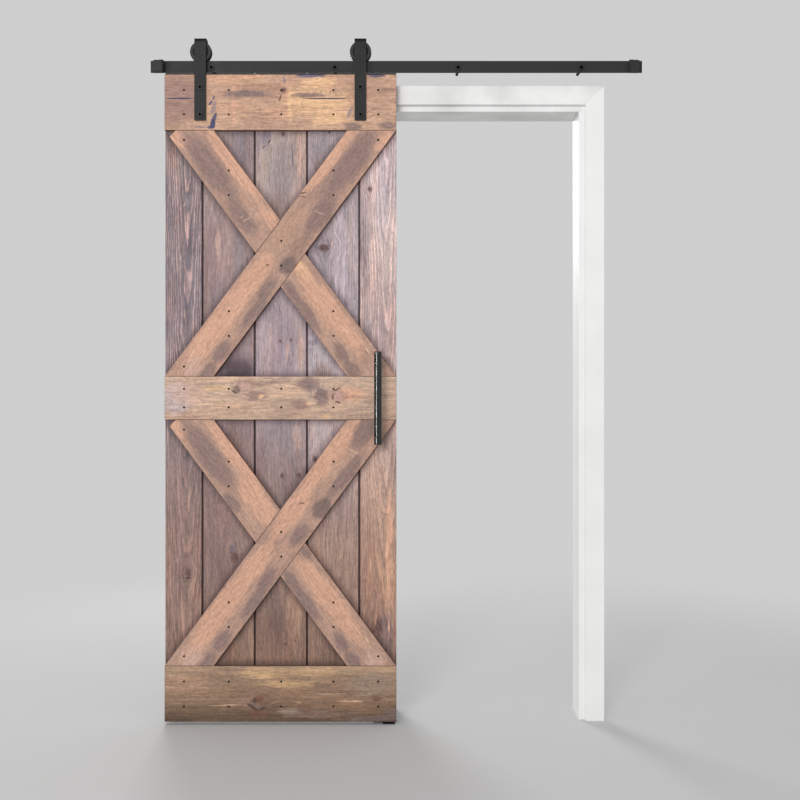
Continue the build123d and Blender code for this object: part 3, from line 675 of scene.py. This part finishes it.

# %% [markdown]
# ## The rails
#
# Three level boards, lighter and more golden than the planks. The top one is peach with dark blue stains by
# the left hanger, the middle one has two large knots, and the bottom one is darker and browner towards the
# floor.

# %% Rails
rail_grain = dict(
    plank_grain, lean=0.03, depth=0.06, figure=0.3, rings=120.0, late=(1.16, 1.14, 1.1),
    warm=(1.16, 1.08, 1.0), clouds=0.8, blush=0.85, strands=0.14, fibres=0.18, fine=0.09, mottle=0.13,
)
rail_recipes = {
    "top_rail": {
        "tones": [(1.95, 199, 161, 136), (2.15, 197, 158, 134)],
        "grain": dict(seed=5.3, heart=0.05, figure=0.2),
        "knots": [(-0.371, 2.087, 0.011, 0.009)],
        "marks": [
            (dusk, -0.724, 2.054, 0.14, 0.16), (gold, -0.258, 2.054, 0.2, 0.075),
            (gold, -0.218, 1.995, 0.12, 0.04), (gold, -0.258, 2.113, 0.1, 0.03),
            (peach, -0.534, 2.041, 0.1, 0.012, 90), (gold, -0.35, 2.041, 0.1, 0.012, 90),
            (smoke, -0.494, 2.071, 0.13, 0.024), (shade, -0.442, 2.015, 0.1, 0.02),
            (smoke, -0.284, 2.071, 0.09, 0.012), (ticks, -0.494, 2.077, 0.11, 0.018),
            (ticks, -0.244, 2.077, 0.11, 0.015), (haze, -0.603, 2.028, 0.045, 0.014, 72),
            (wedge, -0.601, 1.988, 0.034, 0.009, 70), (wedge, -0.603, 1.974, 0.018, 0.011, 80),
            (wedge, -0.609, 1.965, 0.017, 0.007, 8), (wedge, -0.611, 2.044, 0.013, 0.0045, 50),
            (wedge, -0.601, 2.061, 0.01, 0.0035, 60), (haze, -0.649, 1.967, 0.06, 0.01),
            (blue, -0.281, 2.134, 0.07, 0.008), (haze, -0.281, 2.13, 0.08, 0.01),
            (blue, -0.064, 2.134, 0.04, 0.008), (smoke, -0.031, 1.972, 0.052, 0.024),
            (smoke, -0.139, 1.969, 0.048, 0.02), (haze, -0.152, 2.015, 0.05, 0.01, 65),
            (shade, -0.034, 2.084, 0.05, 0.012), (umber, -0.382, 2.061, 0.02, 0.004, 75),
            (haze, -0.369, 2.12, 0.026, 0.007, 85), (crack, -0.711, 2.059, 0.066, 0.0032),
            (crack, -0.231, 2.059, 0.108, 0.0032), (haze, -0.442, 2.015, 0.024, 0.003, 90),
        ],
    },
    "middle_rail": {
        "tones": [(1.0, 191, 161, 140), (1.15, 198, 170, 150)],
        "grain": dict(
            seed=15.8, heart=-0.01, figure=0.6, lean=0.05, depth=0.06, rings=120.0, late=(1.2, 1.17, 1.12),
            knot=tone(206, 168, 154), knot_dark=tone(176, 140, 134),
        ),
        "knots": [(-0.503, 1.116, 0.018, 0.015), (-0.19, 1.083, 0.02, 0.018)],
        "marks": [
            (lilac, -0.721, 1.075, 0.085, 0.08), (pink, -0.678, 1.084, 0.12, 0.06),
            (smoke, -0.29, 1.121, 0.06, 0.036), (dusk, -0.317, 1.055, 0.05, 0.026),
            (smoke, -0.244, 1.081, 0.044, 0.05), (ticks, -0.264, 1.101, 0.06, 0.05),
            (dusk, -0.465, 1.081, 0.06, 0.03), (shade, -0.442, 1.127, 0.12, 0.02),
            (soot, -0.524, 1.104, 0.02, 0.018, 40), (peach, -0.146, 1.088, 0.06, 0.036),
            (pale, -0.636, 1.075, 0.09, 0.006, -9), (pale, -0.629, 1.055, 0.09, 0.005, 5),
            (pale, -0.593, 1.094, 0.06, 0.004, -14), (honey, -0.596, 1.107, 0.09, 0.02),
            (gold, -0.448, 1.075, 0.018, 0.01), (pale, -0.442, 1.078, 0.012, 0.004, 60),
            (gold, -0.289, 1.058, 0.016, 0.007), (gold, -0.231, 1.015, 0.02, 0.012),
            (umber, -0.534, 1.094, 0.02, 0.006, -35), (umber, -0.195, 1.104, 0.02, 0.005, 25),
            (umber, -0.208, 1.078, 0.018, 0.005, 80), (umber, -0.192, 1.061, 0.018, 0.005, -15),
        ],
    },
    "bottom_rail": {
        "tones": [(0.01, 98, 79, 63), (0.1, 146, 118, 97), (0.15, 154, 126, 104), (0.195, 175, 147, 122)],
        "grain": dict(
            seed=28.6, heart=0.04, figure=0.5, lean=0.02, knot=tone(142, 98, 80),
            knot_dark=tone(84, 58, 52), low=1.0, late=(1.2, 1.17, 1.1),
        ),
        "knots": [(-0.448, 0.087, 0.018, 0.014), (-0.064, 0.085, 0.014, 0.01)],
        "marks": [
            (warm, -0.695, 0.134, 0.14, 0.06), (honey, -0.442, 0.171, 0.12, 0.03),
            (honey, -0.277, 0.174, 0.14, 0.022), (honey, -0.366, 0.134, 0.16, 0.024),
            (ash, -0.08, 0.134, 0.14, 0.07), (shade, -0.471, 0.075, 0.07, 0.05),
            (umber, -0.461, 0.082, 0.018, 0.014, 30), (rust, -0.451, 0.036, 0.06, 0.024),
            (umber, -0.471, 0.059, 0.034, 0.01, -35), (umber, -0.438, 0.056, 0.022, 0.008, 20),
            (shade, -0.251, 0.036, 0.26, 0.026), (soot, -0.08, 0.018, 0.12, 0.018),
            (soot, -0.021, 0.036, 0.04, 0.024), (ash, -0.356, 0.046, 0.06, 0.024),
            (honey, -0.323, 0.079, 0.022, 0.006), (pale, -0.146, 0.079, 0.07, 0.0036, 3),
            (pale, -0.146, 0.079, 0.07, 0.0034, -4), (pale, -0.563, 0.065, 0.09, 0.0028, 2),
            (pale, -0.218, 0.102, 0.1, 0.0026, 1),
        ],
    },
}
coat_boards(rail_recipes, rail_grain)
print(len(rail_recipes), "rails")

# %% [markdown]
# ## The braces
#
# Each bay is crossed by one unbroken brace and two half braces, with the grain running along them. A smoky
# stain follows the lower edge of every brace and leaves a peach band along the upper one. Their marks are
# written along and across the brace, and what both bays have in common is written once.

# %% Braces
brace_grain = dict(
    plank_grain, figure=0.12, late=(1.15, 1.1, 1.06), warm=(1.14, 1.05, 1.0), clouds=0.5, blush=0.5,
    strands=0.09, fibres=0.14, fine=0.1, mottle=0.13, lean=0.02,
)
brace_tones = [(0.2, 178, 144, 127), (1.0, 182, 147, 129), (2.0, 182, 147, 130)]
long_foot = [
    (peach, -0.1, 0.022, 0.12, 0.05), (peach, -0.3, 0.024, 0.29, 0.058),
    (smoke, -0.12, -0.036, 0.08, 0.038), (smoke, -0.21, -0.046, 0.11, 0.036),
    (pink, -0.475, 0.01, 0.07, 0.05), (smoke, -0.372, -0.038, 0.07, 0.034),
    (smoke, -0.46, -0.036, 0.07, 0.036),
]
right_half = [
    (peach, 0.25, 0.018, 0.28, 0.05), (smoke, 0.12, -0.044, 0.07, 0.036), (smoke, 0.21, -0.05, 0.12, 0.036),
    (smoke, 0.38, -0.036, 0.06, 0.034), (smoke, 0.45, -0.038, 0.07, 0.036), (pink, 0.5, 0.02, 0.06, 0.06),
]
left_half = [
    (peach, -0.505, -0.046, 0.06, 0.034), (smoke, -0.37, -0.016, 0.23, 0.062),
    (peach, -0.33, 0.053, 0.23, 0.038),
]
brace_patches = {
    "upper_long_brace": long_foot + [
        (peach, 0.5, -0.049, 0.06, 0.034), (smoke, 0.375, -0.012, 0.23, 0.066),
        (peach, 0.34, 0.055, 0.22, 0.036), (smoke, 0.18, -0.03, 0.13, 0.05), (warm, 0.08, 0.03, 0.14, 0.05),
        (shade, 0.06, -0.036, 0.12, 0.04), (soot, -0.016, -0.046, 0.046, 0.04),
    ],
    "upper_left_half_brace": left_half + [
        (smoke, -0.17, -0.03, 0.12, 0.05), (peach, -0.11, 0.04, 0.1, 0.034),
    ],
    "upper_right_half_brace": [(gold, 0.085, 0.026, 0.07, 0.04)] + right_half,
    "lower_long_brace": long_foot + [
        (smoke, 0.46, -0.006, 0.12, 0.05), (peach, 0.32, 0.04, 0.23, 0.05),
        (smoke, 0.3, -0.04, 0.16, 0.036), (peach, 0.1, 0.03, 0.16, 0.05),
        (soot, 0.172, -0.042, 0.056, 0.042), (smoke, 0.06, -0.034, 0.08, 0.04),
    ],
    "lower_left_half_brace": left_half + [(peach, -0.15, 0.02, 0.15, 0.06), (smoke, -0.2, -0.05, 0.06, 0.03)],
    "lower_right_half_brace": [(smoke, 0.075, 0.04, 0.05, 0.04)] + right_half,
}
foot_scratches = [
    (umber, -0.058, 0.012, 0.012, 0.0034, 5), (pale, -0.432, 0.037, 0.03, 0.0036, 66),
    (pale, -0.366, 0.035, 0.018, 0.0026, 60),
]
right_scratches = [
    (pale, 0.425, 0.04, 0.03, 0.004, -62), (pale, 0.395, 0.044, 0.016, 0.0028, -40),
    (pale, 0.338, 0.024, 0.016, 0.0028, -46),
]
brace_details = {
    "upper_long_brace": foot_scratches + [
        (umber, 0.201, 0.06, 0.026, 0.0036, 12), (umber, 0.192, 0.052, 0.018, 0.0024, -8),
        (pale, 0.183, -0.023, 0.026, 0.0028, -26), (pale, -0.02, 0.01, 0.022, 0.0028, 58),
    ],
    "upper_left_half_brace": [
        (pale, -0.156, -0.024, 0.026, 0.003, 32), (pale, -0.172, -0.03, 0.014, 0.002, 40),
        (pale, -0.143, 0.058, 0.022, 0.0026, -50),
    ],
    "upper_right_half_brace": right_scratches,
    "lower_long_brace": foot_scratches[1:] + [
        (umber, 0.146, 0.022, 0.018, 0.004, 8), (pale, 0.385, -0.015, 0.028, 0.003, -26),
    ],
    "lower_left_half_brace": [(pale, -0.18, 0.02, 0.03, 0.0026, -60), (pale, -0.1, -0.01, 0.03, 0.0026, -56)],
    "lower_right_half_brace": right_scratches,
}


def on_brace(bay_middle, heading, along, across):
    """The place in the door of a point given along and across a brace, from the middle of its bay."""
    x = leaf_middle + along * math.cos(heading) - across * math.sin(heading)
    return x, bay_middle + along * math.sin(heading) + across * math.cos(heading)


seed = 50.0
seed_step = 7.3
for name, patches in brace_patches.items():
    bay_middle = bay_middles[name.split("_")[0]]
    heading = brace_lean if "long" in name else -brace_lean
    marks = []
    stretched = [(*row, math.degrees(heading)) for row in patches]
    for kind, along, across, *rest in stretched + brace_details[name]:
        marks.append((kind, *on_brace(bay_middle, heading, along, across), *rest))
    seed += seed_step
    grain = {**brace_grain, "seed": seed, "heart": 0.03}
    coat([name], board_material(name, (leaf_middle, bay_middle), heading, brace_tones, grain, (), marks))
print(len(brace_patches), "braces")

# %% [markdown]
# ## The board screws
#
# Every rail is fixed with two rows of small black screws, one pair on each plank, and the braces with more
# of them. They are all alike, so they are a job for instancing: one head is drawn once and set on every
# place. The head is a low disc with a round driving recess pressed into it, shallower than the head is
# high.

# %% Places of the screws
screw_columns = [leaf_middle + side for side in (-0.3168, -0.1697, 0.0027, 0.1742, 0.3215)]
bottom_rail_level = (leaf_low.z + leaf_high.z) / 2
top_rail_low, top_rail_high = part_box("top_rail")
top_rail_level = (top_rail_low.z + top_rail_high.z) / 2
places = []
row_offsets = {bottom_rail_level: 0.041, rail_level: 0.0305, top_rail_level: 0.040}
for level, half_gap in row_offsets.items():
    places += [(x, level + side * half_gap) for x in screw_columns for side in (-1, 1)]
end_margin = 0.0325
pair_gap = 0.0405
pair_rise = 0.2313
bay_lift = {"lower": -0.0045, "upper": 0.0003}
for bay, bay_middle in bay_middles.items():
    for column, x in enumerate(screw_columns):
        if column in (0, 4):
            end = bay_height / 2 - end_margin
            places += [(x, bay_middle + end), (x, bay_middle - end)]
        else:
            middle = bay_middle + bay_lift[bay]
            levels = [middle] if column == 2 else [middle - pair_rise, middle + pair_rise]
            places += [(x, level + side * pair_gap) for level in levels for side in (-1, 1)]
print(len(places), "board screws")

# %% Screw finish
screw_black, recipe, shader = new_material("board_screw_black")
point = recipe.object_point()
worn = recipe.noise(point, 700.0, 3.0)
colour = recipe.mix(worn, tone(10, 9, 9), tone(26, 23, 22))
surface(recipe, shader, colour, recipe.steps(worn, 0.3, 0.7, 0.5, 0.7), recipe.bump(worn, 0.00005))
shader.inputs["Specular IOR Level"].default_value = 0.15


# %% Growing pieces on points
def open_tree(name, sizes):
    """A tree whose first input is a cloud of points, and the identifiers of an input for every size."""
    tree = bpy.data.node_groups.new(name, "GeometryNodeTree")
    tree.interface.new_socket("Points", in_out="INPUT", socket_type="NodeSocketGeometry")
    sockets = {}
    for label, value in sizes.items():
        kind = "NodeSocketFloat" if isinstance(value, float) else "NodeSocketMaterial"
        sockets[label] = tree.interface.new_socket(label, in_out="INPUT", socket_type=kind).identifier
    tree.interface.new_socket("Grown", in_out="OUTPUT", socket_type="NodeSocketGeometry")
    start = tree.nodes.new("NodeGroupInput").outputs
    return tree, Recipe(tree), start, tree.nodes.new("NodeGroupOutput").inputs, sockets


def spread(g, start, end, shape):
    """Set the shape on every point, make it real and give it its finish."""
    copies = g.make("InstanceOnPoints", {"Points": start["Points"], "Instance": shape})
    whole = g.make("RealizeInstances", {"Geometry": copies})
    g.link(g.make("SetMaterial", {"Geometry": whole, "Material": start["Finish"]}), end["Grown"])


def grow(name, places, tree, sockets, sizes, body):
    """Run the tree on the places, and keep what grows there as one plain mesh on a body."""
    cloud = bpy.data.meshes.new(name)
    cloud.from_pydata(places, [], [])
    points = bpy.data.objects.new(name + "_points", cloud)
    bpy.context.scene.collection.objects.link(points)
    grower = points.modifiers.new(name, "NODES")
    grower.node_group = tree
    for label, value in sizes.items():
        grower[sockets[label]] = value
    bpy.context.view_layer.update()
    grown = points.evaluated_get(bpy.context.evaluated_depsgraph_get())
    mesh = bpy.data.meshes.new_from_object(grown)
    bpy.data.objects.remove(points)
    piece = bpy.data.objects.new(name, mesh)
    bpy.context.scene.collection.objects.link(piece)
    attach(piece, body)
    print(name, "on", len(places), "places:", len(mesh.polygons), "faces")


# %% Grow the board screws
screw_sizes = {
    "Head radius": 0.0035, "Head height": 0.0014, "Recess share": 0.45, "Recess depth": 0.0005,
    "Finish": screw_black,
}
tree, g, start, end, sockets = open_tree("screw_heads", screw_sizes)
disc = g.add(
    "GeometryNodeMeshCylinder", {"fill_type": "NGON"},
    {"Vertices": 20, "Radius": start["Head radius"], "Depth": start["Head height"]},
).outputs
rim = g.add(
    "GeometryNodeExtrudeMesh", {"mode": "FACES"},
    {"Mesh": disc["Mesh"], "Selection": disc["Top"], "Offset Scale": 0.0},
).outputs
inset = g.make(
    "ScaleElements", {"Geometry": rim["Mesh"], "Selection": rim["Top"], "Scale": start["Recess share"]}
)
sunk = g.add(
    "GeometryNodeExtrudeMesh", {"mode": "FACES"},
    {"Mesh": inset, "Selection": rim["Top"], "Offset Scale": g.times(start["Recess depth"], -1.0)},
).outputs["Mesh"]
spread(g, start, end, g.make("Transform", {"Geometry": sunk, "Rotation": (math.radians(90), 0, 0)}))
grow("board_screws", [(x, front_face, z) for x, z in places], tree, sockets, screw_sizes, "leaf")

# %% [markdown]
# ## The thread of the track bolts
#
# Each track bolt ends in a coarse wood thread, a ridge wound round the shank and on down the point. Bump
# could draw it, but seen from the side a thread is a row of teeth, so it is a real ridge: a spiral with a
# three-sided section, drawn once and set on every bolt. The spacers, which sit round the bolts, tell where
# the bolts are.

# %% Places of the track bolts
spacer_low, spacer_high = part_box("track_spacers")
spacer_radius = (spacer_high.z - spacer_low.z) / 2
bolt_count = 4
first_bolt = spacer_low.x + spacer_radius
last_bolt = spacer_high.x - spacer_radius
bolt_level = (spacer_low.z + spacer_high.z) / 2
bolt_xs = [first_bolt + (last_bolt - first_bolt) * i / (bolt_count - 1) for i in range(bolt_count)]
print("track bolts at", [round(x, 4) for x in bolt_xs])

# %% Grow the threads
plain_neck, shank_turns, tip_turns = 0.002, 8, 2
thread_sizes = {
    "Shank radius": 0.004, "Tip radius": 0.0008, "Pitch": 0.003, "Ridge": 0.0009, "Finish": screw_black,
}
tree, g, start, end, sockets = open_tree("bolt_threads", thread_sizes)
section = g.make("CurvePrimitiveCircle", {"Resolution": 3, "Radius": start["Ridge"]})
ridges = g.add("GeometryNodeJoinGeometry")
stretches = (("Shank radius", shank_turns, 0), ("Tip radius", tip_turns, shank_turns))
for far_end, turns, turns_before in stretches:
    spiral = g.make("CurveSpiral", {
        "Resolution": 20, "Rotations": turns, "Start Radius": start["Shank radius"],
        "End Radius": start[far_end], "Height": g.times(start["Pitch"], turns),
    })
    swept = g.make("CurveToMesh", {"Curve": spiral, "Profile Curve": section, "Fill Caps": True})
    shift = g.join(0.0, 0.0, g.times(start["Pitch"], turns_before))
    g.link(g.make("Transform", {"Geometry": swept, "Translation": shift}), ridges.inputs[0])
whole = {"Geometry": ridges.outputs[0], "Rotation": (math.radians(-90), 0, 0)}
spread(g, start, end, g.make("Transform", whole))
thread_places = [(x, spacer_high.y + plain_neck, bolt_level) for x in bolt_xs]
grow("bolt_threads", thread_places, tree, sockets, thread_sizes, "root")

# %% [markdown]
# ## White paint
#
# The lining and casing of the doorway are painted white. Brushed paint isn't perfectly flat: it follows the
# board in long faint ridges, and it shines a little.


# %% Paint
def paint_material(name, stretch, low_tone):
    """White satin paint, brushed the way that stretch is smallest."""
    material, r, shader = new_material(name)
    point = r.object_point()
    brushed = r.noise(r.scaled(point, stretch), 1.0, 4.0, 0.6)
    cloud = r.noise(point, 5.0, 3.0, 0.5)
    colour = r.mix(r.steps(cloud, 0.3, 0.7), tone(low_tone, low_tone, low_tone - 1), tone(238, 238, 237))
    surface(r, shader, colour, r.steps(brushed, 0.3, 0.7, 0.4, 0.52), r.bump(brushed, 0.0002))
    return material


upright_paint = paint_material("white_paint_upright", (260, 260, 8), 233)
# The level head pieces are brushed the other way and have a darker low tone, painted shade under the track.
level_paint_shaded = paint_material("white_paint_level_shaded", (8, 260, 260), 210)
coat(["left_jamb", "right_jamb", "left_casing", "right_casing"], upright_paint)
coat(["head_jamb", "head_casing"], level_paint_shaded)
print("white paint on 6 boards")

# %% [markdown]
# ## Black steel
#
# Track, straps and stops are powder coated: a matt black with a fine pebbled skin and slightly worn edges.
# Bolts are smoother, the wheels were turned on a lathe and keep its rings, and the handle is satin. Painted
# shade makes the bolts' sockets and the ring cut into each wheel black, darkens the straps above their bend
# and runs down the handle's left side.


# %% Steel finishes
def paint_dark_shade(r, shader, colour, lit_share):
    """Painted shade: where the share falls below 1, the surface turns metallic and dark, and gives back
    almost no light.
    """
    r.link(r.minus(1.0, lit_share), shader.inputs["Metallic"])
    return r.scaled(colour, r.join(lit_share, lit_share, lit_share))


def steel_material(name, base, worn, rough, pebble, pebble_depth, socket_from=None, shade_above=None):
    """Black steel with a fine pebbled skin and rubbed places; painted shade on what lies behind a socket's
    face and above a given level.
    """
    material, r, shader = new_material(name)
    shader.inputs["Specular IOR Level"].default_value = 0.25
    point = r.object_point()
    skin = r.noise(point, pebble, 3.0, 0.6)
    rubbed = r.noise(point, 14.0, 5.0, 0.7)
    colour = r.mix(r.steps(rubbed, 0.55, 0.75), base, worn)
    if socket_from is not None:
        # Painted shade in the socket and on all behind the head's face.
        open_face = r.steps(r.parts(point)[1], socket_from + 0.0003, socket_from + 0.0012, 1.0, 0.05)
        colour = paint_dark_shade(r, shader, colour, open_face)
    if shade_above is not None:
        # Painted shade above the bend at the top of the straps.
        shaded = r.steps(r.parts(point)[2], shade_above - 0.003, shade_above + 0.003, 1.0, 0.5)
        colour = paint_dark_shade(r, shader, colour, shaded)
    roughness = r.steps(rubbed, 0.3, 0.8, rough + 0.06, rough - 0.06)
    surface(r, shader, colour, roughness, r.bump(skin, pebble_depth, 0.6))
    return material


def satin_material(name, low, high):
    """A round bar drawn lengthways: satin black, with painted shade down its left side."""
    material, r, shader = new_material(name)
    point = r.object_point()
    drawn = r.noise(r.scaled(point, (1500, 1500, 30)), 1.0, 2.0)
    shaded_side_share = 0.27
    shaded_side_edge = low.x + shaded_side_share * (high.x - low.x)
    # Painted shade down the bar's left side, which turns metallic and dark.
    lit_side = r.steps(r.parts(point)[0], shaded_side_edge - 0.0008, shaded_side_edge + 0.0008, 0.05, 1.0)
    colour = r.mix(drawn, tone(20, 23, 22), tone(28, 32, 31))
    colour = paint_dark_shade(r, shader, colour, lit_side)
    surface(r, shader, colour, r.steps(drawn, 0.3, 0.7, 0.15, 0.19), r.bump(drawn, 0.000002))
    return material


def turned_material(name, middle, face, base):
    """Turned black steel: fine rings round the axle, and painted shade on all behind the face, the ring cut
    into it too.
    """
    material, r, shader = new_material(name)
    point = r.object_point()
    radius = r.vector_math("LENGTH", r.scaled(r.vector_math("SUBTRACT", point, middle), (1, 0, 1)))
    rings = r.noise(r.join(r.times(radius, 900.0)), 1.0, 2.0)
    # Painted shade on all that lies behind the wheel's face, the ring cut into it too.
    open_face = r.steps(r.parts(point)[1], face + 0.0003, face + 0.0015, 1.0, 0.1)
    colour = paint_dark_shade(r, shader, r.mix(rings, base, tone(48, 48, 49)), open_face)
    surface(r, shader, colour, r.steps(rings, 0.3, 0.7, 0.5, 0.65), r.bump(rings, 0.0001))
    shader.inputs["Specular IOR Level"].default_value = 0.25
    return material


powder_coat = steel_material("powder_coat", tone(41, 41, 42), tone(47, 47, 48), 0.62, 900.0, 0.00008)
coat(["track", "track_spacers", "left_stop", "right_stop", "floor_guide"], powder_coat)
# The straps bend back above this level; painted shade darkens them there.
strap_bend_shade_level = 2.244
strap_tones = (tone(34, 34, 35), tone(40, 40, 41))
strap_coat = steel_material("strap_coat", *strap_tones, 0.62, 900.0, 0.00008, shade_above=strap_bend_shade_level)
coat(["left_strap", "right_strap"], strap_coat)
socket_bolts = {"track_bolts": ["track_bolts"], "hanger_bolts": ["left_hanger_bolts", "right_hanger_bolts"]}
bolt_tones = (tone(32, 32, 33), tone(40, 40, 41))
for name, pieces in socket_bolts.items():
    head_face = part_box(pieces[0])[0].y
    coat(pieces, steel_material(name + "_black", *bolt_tones, 0.5, 1500.0, 0.00004, head_face))
plain_bolts = ["left_stop_set_screw", "right_stop_set_screw", "floor_guide_screws", "handle_screws"]
for side in ("left", "right"):
    plain_bolts += [side + "_sleeve_nuts", side + "_axle_nut", side + "_axle"]
    low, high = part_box(side + "_wheel")
    middle = tuple((low + high) / 2)
    coat([side + "_wheel"], turned_material(side + "_wheel_black", middle, low.y, tone(40, 40, 41)))
coat(plain_bolts, steel_material("bolt_black", tone(30, 30, 31), tone(44, 44, 45), 0.5, 1500.0, 0.00004))
coat(["pull_handle"], satin_material("handle_black", *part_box("pull_handle")))
print(len(plain_bolts), "nodes of plain black bolts and nuts")

# %% [markdown]
# ## Bright steel and rubber
#
# Each wheel turns on a ball bearing, whose ground rings stay bright. The pads on the stops are black
# rubber.

# %% Bearing and rubber
bright_steel, recipe, shader = new_material("bright_steel")
ground_marks = recipe.noise(recipe.scaled(recipe.object_point(), (900, 60, 900)), 1.0, 2.0)
colour = recipe.mix(ground_marks, tone(170, 170, 172), tone(205, 205, 207))
roughness = recipe.steps(ground_marks, 0.3, 0.7, 0.25, 0.35)
surface(recipe, shader, colour, roughness, recipe.bump(ground_marks, 0.00002))
shader.inputs["Metallic"].default_value = 1.0
rings = [side + "_bearing_" + part + "_ring" for side in ("left", "right") for part in ("outer", "inner")]
coat(rings, bright_steel)

rubber, recipe, shader = new_material("rubber_black")
rubber_grain = recipe.noise(recipe.object_point(), 700.0, 3.0)
colour = recipe.mix(rubber_grain, tone(14, 14, 14), tone(24, 24, 24))
roughness = recipe.steps(rubber_grain, 0.3, 0.7, 0.8, 0.9)
surface(recipe, shader, colour, roughness, recipe.bump(rubber_grain, 0.0001))
coat(["left_stop_bumper", "right_stop_bumper"], rubber)
print("bearings", rings)

# %% Bounds of the object
low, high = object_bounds()
